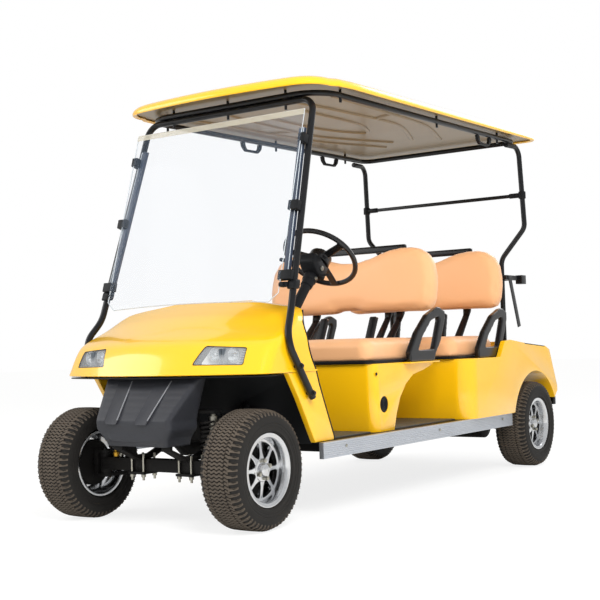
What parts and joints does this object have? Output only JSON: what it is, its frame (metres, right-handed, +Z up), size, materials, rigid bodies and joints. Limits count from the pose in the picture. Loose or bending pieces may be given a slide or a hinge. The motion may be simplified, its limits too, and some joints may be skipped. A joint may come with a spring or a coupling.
{
  "type": "four-seat golf cart",
  "caption": "Electric golf cart with two forward-facing benches, a roof on struts, a clear windshield, a bag well behind, steered front wheels and lift-up seat cushions.",
  "frame": {"origin": "on the ground under the middle of the cart's outer box", "axes": "+Z up, the cart faces -Y, +X is the driver's left side"},
  "size_m": [1.17, 2.9819, 1.8623],
  "materials": {
    "tyre": "matt moulded rubber",
    "alloy": "machined and lacquered",
    "chassis_black": "satin black paint",
    "motor_grey": "painted casting",
    "battery_black": "moulded",
    "floor_black": "textured moulding",
    "mat_rubber": "ribbed rubber",
    "aluminium_trim": "anodised extrusion",
    "moulded_black": "fine grained moulding",
    "body_yellow": "gloss paint on moulded plastic",
    "lamp_clear": "clear moulded lens",
    "lamp_red": "red moulded lens",
    "seat_vinyl": "fine grained vinyl",
    "tube_black": "black powder coat",
    "liner_tan": "moulded ceiling",
    "clear_sheet": "clear acrylic"
  },
  "bodies": {
    "cart": {"front_axle_beam": "chassis_black", "rear_axle": "chassis_black", "frame_rails": "chassis_black", "frame_crossmembers": "chassis_black", "leaf_springs": "chassis_black", "dampers": "chassis_black", "drive_motor": "motor_grey", "battery_pack": "battery_black", "floor_pan": "floor_black", "toe_board": "floor_black", "nose_tray": "floor_black", "bag_well": "floor_black", "pedals": "floor_black", "floor_mats": "mat_rubber", "rocker_panels": "aluminium_trim", "steering_column": "moulded_black", "dashboard": "moulded_black", "front_bumper": "moulded_black", "rear_bumper": "moulded_black", "armrests": "moulded_black", "grab_handles": "moulded_black", "windshield_clips": "moulded_black", "front_cowl": "body_yellow", "front_seat_base": "body_yellow", "rear_body": "body_yellow", "roof_panel": "body_yellow", "headlamps": "lamp_clear", "tail_lamps": "lamp_red", "front_seat_back": "seat_vinyl", "rear_seat_back": "seat_vinyl", "backrest_brackets": "tube_black", "roof_frame": "tube_black", "front_struts": "tube_black", "rear_struts": "tube_black", "strut_crossbar": "tube_black", "bag_holder": "tube_black", "roof_liner": "liner_tan", "windshield": "clear_sheet"},
    "wheel_front_left": {"tyre_front_left": "tyre", "rim_front_left": "alloy"},
    "wheel_front_right": {"tyre_front_right": "tyre", "rim_front_right": "alloy"},
    "wheel_rear_left": {"tyre_rear_left": "tyre", "rim_rear_left": "alloy"},
    "wheel_rear_right": {"tyre_rear_right": "tyre", "rim_rear_right": "alloy"},
    "knuckle_left": {"knuckle_left": "chassis_black"},
    "knuckle_right": {"knuckle_right": "chassis_black"},
    "tie_rod": {"tie_rod": "chassis_black"},
    "steering_wheel": {"steering_wheel": "moulded_black"},
    "front_seat_lid": {"front_seat_cushion": "seat_vinyl"},
    "rear_seat_lid": {"rear_seat_cushion": "seat_vinyl"}
  },
  "joints": [
    {"name": "steer_left", "type": "hinge", "parent": "cart", "child": "knuckle_left", "pos_m": [0.33, -1.2615, 0.2295], "axis": [0, 0, 1], "range_deg": [-30, 30]},
    {"name": "steer_right", "type": "hinge", "parent": "cart", "child": "knuckle_right", "pos_m": [-0.33, -1.2615, 0.2295], "axis": [0, 0, 1], "range_deg": [-30, 30]},
    {"name": "tie_rod_pivot", "type": "hinge", "parent": "knuckle_left", "child": "tie_rod", "pos_m": [0.3, -1.1415, 0.1955], "axis": [0, 0, 1], "range_deg": [-33, 33]},
    {"name": "wheel_spin_front_left", "type": "hinge", "parent": "knuckle_left", "child": "wheel_front_left", "pos_m": [0.431, -1.2615, 0.2295], "axis": [1, 0, 0], "continuous": true},
    {"name": "wheel_spin_front_right", "type": "hinge", "parent": "knuckle_right", "child": "wheel_front_right", "pos_m": [-0.431, -1.2615, 0.2295], "axis": [1, 0, 0], "continuous": true},
    {"name": "wheel_spin_rear_left", "type": "hinge", "parent": "cart", "child": "wheel_rear_left", "pos_m": [0.497, 1.1525, 0.2295], "axis": [1, 0, 0], "continuous": true},
    {"name": "wheel_spin_rear_right", "type": "hinge", "parent": "cart", "child": "wheel_rear_right", "pos_m": [-0.497, 1.1525, 0.2295], "axis": [1, 0, 0], "continuous": true},
    {"name": "steering_wheel_turn", "type": "hinge", "parent": "cart", "child": "steering_wheel", "pos_m": [0.222, -0.4345, 1.087], "axis": [0, 0.6743, 0.7385], "range_deg": [-360, 360]},
    {"name": "front_seat_hinge", "type": "hinge", "parent": "cart", "child": "front_seat_lid", "pos_m": [0, -0.4847, 0.60415], "axis": [1, 0, 0], "range_deg": [0, 40]},
    {"name": "rear_seat_hinge", "type": "hinge", "parent": "cart", "child": "rear_seat_lid", "pos_m": [0, 0.3303, 0.60415], "axis": [1, 0, 0], "range_deg": [0, 60]}
  ],
  "couplings": [
    {"joint": "steer_right", "follows": "steer_left", "ratio": 1},
    {"joint": "tie_rod_pivot", "follows": "steer_left", "ratio": -1.1},
    {"joint": "steering_wheel_turn", "follows": "steer_left", "ratio": 12}
  ]
}
